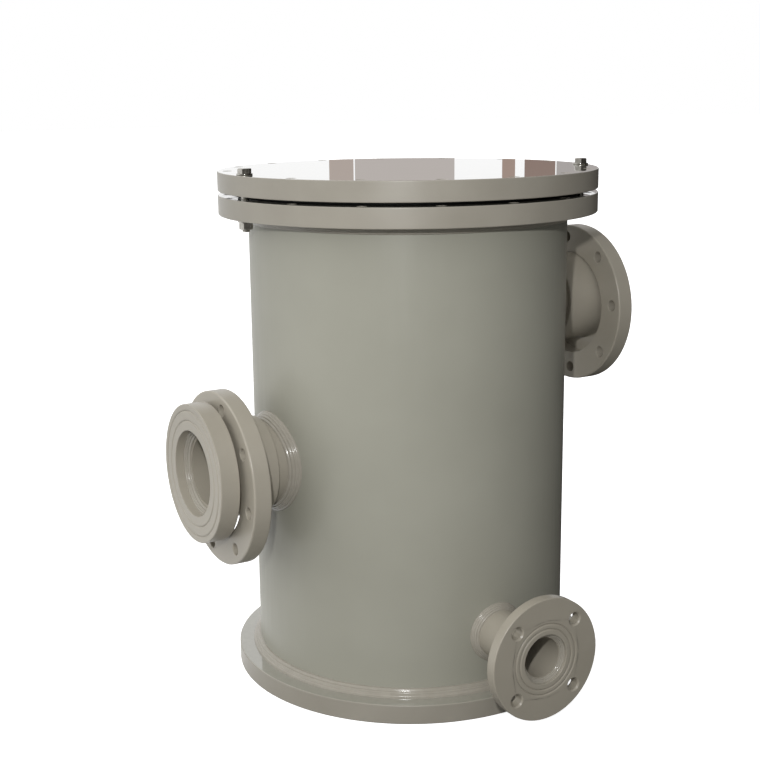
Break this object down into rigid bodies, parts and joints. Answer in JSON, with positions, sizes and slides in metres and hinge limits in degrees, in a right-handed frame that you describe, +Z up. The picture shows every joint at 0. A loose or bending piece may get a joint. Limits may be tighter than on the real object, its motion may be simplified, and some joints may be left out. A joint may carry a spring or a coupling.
{
  "type": "basket strainer",
  "caption": "Upright welded plastic basket strainer: round vessel with bolted lid, high inlet, lower outlet, drain flange and lift-out slotted basket.",
  "frame": {"origin": "centre of the base plate's flat underside, on the vessel's axis", "axes": "+Z up the vessel's axis, +X towards the inlet, -X towards the outlet, -Y towards the drain"},
  "size_m": [0.753, 0.666, 0.811],
  "materials": {
    "plate": "satin polypropylene, machined and welded",
    "shell": "satin polypropylene, machined and welded",
    "pipe": "satin polypropylene, machined and welded",
    "weld": "glossy hot-gas weld bead",
    "basket": "machined polypropylene",
    "seal": "matt black rubber sheet",
    "steel": "plain stainless steel"
  },
  "bodies": {
    "vessel": {"base_plate": "plate", "vessel_shell": "shell", "base_weld": "weld", "body_flange": "plate", "flange_weld": "weld", "basket_seat": "plate", "seat_weld": "weld", "lid_gasket": "seal", "inlet_pipe": "pipe", "inlet_weld": "weld", "inlet_stub_end": "plate", "inlet_inner_weld": "weld", "outlet_pipe": "pipe", "outlet_weld": "weld", "outlet_stub_end": "plate", "outlet_inner_weld": "weld", "drain_pipe": "pipe", "drain_weld": "weld", "drain_flange": "plate", "drain_inner_weld": "weld"},
    "inlet_ring": {"inlet_backing_ring": "plate"},
    "outlet_ring": {"outlet_backing_ring": "plate"},
    "basket": {"basket_rim": "basket", "basket_wall": "basket", "basket_bottom": "basket", "bail_lugs": "basket", "bail_pins": "basket"},
    "bail": {"lifting_bail": "basket"},
    "lid": {"lid": "plate"},
    "left_bolt": {"lid_bolt_left": "steel", "bolt_washer_left": "steel"},
    "right_bolt": {"lid_bolt_right": "steel", "bolt_washer_right": "steel"},
    "left_nut": {"lid_nut_left": "steel", "nut_washer_left": "steel"},
    "right_nut": {"lid_nut_right": "steel", "nut_washer_right": "steel"}
  },
  "joints": [
    {"name": "inlet_ring_turn", "type": "hinge", "parent": "vessel", "child": "inlet_ring", "pos_m": [0.3405, 0, 0.5593], "axis": [1, 0, 0], "continuous": true},
    {"name": "outlet_ring_turn", "type": "hinge", "parent": "vessel", "child": "outlet_ring", "pos_m": [-0.328, 0, 0.3513], "axis": [-1, 0, 0], "continuous": true},
    {"name": "basket_lift", "type": "slide", "parent": "vessel", "child": "basket", "axis": [0, 0, 1], "range_m": [0, 0.6]},
    {"name": "bail_swing", "type": "hinge", "parent": "basket", "child": "bail", "pos_m": [0, 0, 0.4934], "axis": [0, -1, 0], "range_deg": [0, 180]},
    {"name": "lid_lift", "type": "slide", "parent": "basket", "child": "lid", "axis": [0, 0, 1], "range_m": [0, 0.4]},
    {"name": "left_bolt_draw", "type": "slide", "parent": "lid", "child": "left_bolt", "axis": [0, 0, 1], "range_m": [0, 0.1]},
    {"name": "right_bolt_draw", "type": "slide", "parent": "lid", "child": "right_bolt", "axis": [0, 0, 1], "range_m": [0, 0.1]},
    {"name": "left_nut_run", "type": "slide", "parent": "vessel", "child": "left_nut", "axis": [0, 0, -1], "range_m": [0, 0.03]},
    {"name": "right_nut_run", "type": "slide", "parent": "vessel", "child": "right_nut", "axis": [0, 0, -1], "range_m": [0, 0.03]}
  ]
}
